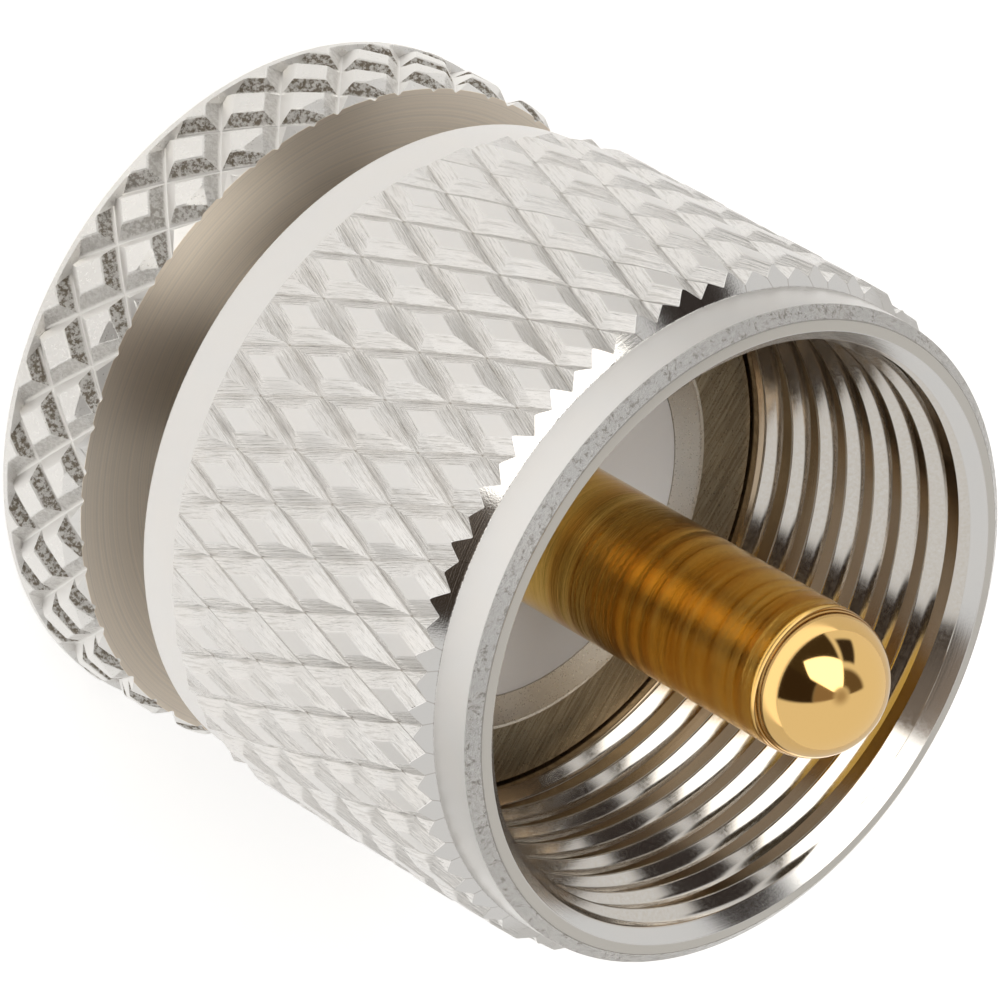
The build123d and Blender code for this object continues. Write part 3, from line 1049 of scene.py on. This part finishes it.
def floor_material():
    material, nodes, shader = new_material("pale_floor")
    where = nodes.add("ShaderNodeTexCoord").outputs["Object"]
    cloud = nodes.noise(where, 6.0, detail=3.0)
    nodes.link(nodes.mix(cloud, FLOOR_SHADE, FLOOR_PALE), shader.inputs["Base Color"])
    shader.inputs["Roughness"].default_value = 0.9
    shader.inputs["Specular IOR Level"].default_value = 0.0
    shader.inputs["Emission Color"].default_value = FLOOR_LIGHT
    x, y, z = nodes.separate(where)
    behind = nodes.times(nodes.minus(y, OVAL_CENTRE_Y), OVAL_DEPTH_SHARE)
    square = nodes.math("ADD", nodes.times(x, x), nodes.times(behind, behind))
    near = nodes.ramp(nodes.math("SQRT", square), OVAL_INNER, OVAL_OUTER, OVAL_LIGHT, 0.0)
    in_front = nodes.ramp(y, FIELD_START_Y, FIELD_FULL_Y, 0.0, FIELD_LIGHT)
    in_front = nodes.times(in_front, nodes.ramp(y, FIELD_END_Y, FIELD_FADE_Y))
    # The floor glows in the oval and the field: painted light
    nodes.link(nodes.math("MAXIMUM", near, in_front), shader.inputs["Emission Strength"])
    return material


def make_world():
    """A white tent with a dark opening at the front, a window-like soft light in it, and a dim top."""
    world = bpy.data.worlds.new("studio")
    bpy.context.scene.world = world
    world.use_nodes = True
    nodes = Nodes(world.node_tree)
    direction = nodes.add("ShaderNodeTexCoord").outputs["Generated"]
    x, y, z = nodes.separate(direction)
    to_degrees = 180 / math.pi
    side = nodes.times(nodes.math("ARCTAN2", x, nodes.times(y, -1.0)), to_degrees)
    rise = nodes.times(nodes.math("ARCSINE", z), to_degrees)

    def cover(patch):
        soft = patch.soft
        return nodes.times(
            nodes.ramp(side, patch.left - soft, patch.left + soft),
            nodes.fall(side, patch.right - soft, patch.right + soft),
            nodes.ramp(rise, patch.low - soft, patch.low + soft),
            nodes.fall(rise, patch.high - soft, patch.high + soft),
        )

    colour = TENT
    for patch in PATCHES:
        colour = nodes.mix(cover(patch), colour, patch.colour)
    light = cover(WINDOW)
    for slope, at_front in WINDOW_LINES:
        line = nodes.math("ADD", nodes.times(side, slope), at_front)
        above = nodes.ramp(nodes.minus(rise, line), -WINDOW_LINE_SOFT, WINDOW_LINE_SOFT)
        light = nodes.times(light, above)
    colour = nodes.mix(light, colour, WINDOW.colour)
    background = nodes.add("ShaderNodeBackground")
    nodes.link(colour, background.inputs["Color"])
    background.inputs["Strength"].default_value = 1.0
    output = nodes.add("ShaderNodeOutputWorld")
    nodes.link(background.outputs[0], output.inputs["Surface"])


def make_floor():
    mesh = bpy.data.meshes.new("floor")
    line = [FLOOR_SIZE * (2 * i / FLOOR_CELLS - 1) for i in range(FLOOR_CELLS + 1)]
    points = [(a, b, 0.0) for b in line for a in line]
    row = FLOOR_CELLS + 1
    faces = [
        (j * row + i, j * row + i + 1, (j + 1) * row + i + 1, (j + 1) * row + i)
        for j in range(FLOOR_CELLS)
        for i in range(FLOOR_CELLS)
    ]
    mesh.from_pydata(points, [], faces)
    floor = bpy.data.objects.new("floor", mesh)
    bpy.context.scene.collection.objects.link(floor)
    floor.data.materials.append(floor_material())


def make_camera():
    """The camera, rolled so that the plug points right and down."""
    centre = Vector(CAMERA_PLACE) * MM
    forward = (Vector(CAMERA_AIM) * MM - centre).normalized()
    right = forward.cross(Vector((0, 0, 1))).normalized()
    up = right.cross(forward)
    roll = math.radians(CAMERA_ROLL)
    image_right = right * math.cos(roll) + up * math.sin(roll)
    image_up = up * math.cos(roll) - right * math.sin(roll)
    data = bpy.data.cameras.new("camera")
    data.sensor_width = SENSOR_WIDTH
    data.lens = CAMERA_LENS
    data.clip_start = NEAREST_SEEN
    data.clip_end = FARTHEST_SEEN
    camera = bpy.data.objects.new("camera", data)
    bpy.context.scene.collection.objects.link(camera)
    axes = Matrix((image_right, image_up, -forward)).transposed().to_4x4()
    camera.matrix_world = Matrix.Translation(centre) @ axes
    bpy.context.scene.camera = camera


def dress(piece, material, body, replaced=None):
    piece.data.materials.clear()
    piece.data.materials.append(material)
    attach(piece, body)
    if replaced:
        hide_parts(replaced)


plastic = white_plastic()
dress(make_nut(), nickel_nut(), "nut", "coupling_nut")
dress(make_thread(), nickel_thread(), "nut")
dress(make_body(), nickel_body(), "shell", "body")
dress(make_disc(), plastic, "shell", "front_insulator")
dress(make_pin(), gold_plate(), "shell", "centre_pin")

for node, material in (
    ("rear_insulator", plastic),
    ("back_plug", nickel_plug()),
    ("retaining_ring", spring_steel()),
):
    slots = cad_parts[node].data.materials
    slots.clear()
    slots.append(material)

make_world()
make_floor()
make_camera()
bpy.context.scene.view_settings.view_transform = "Standard"
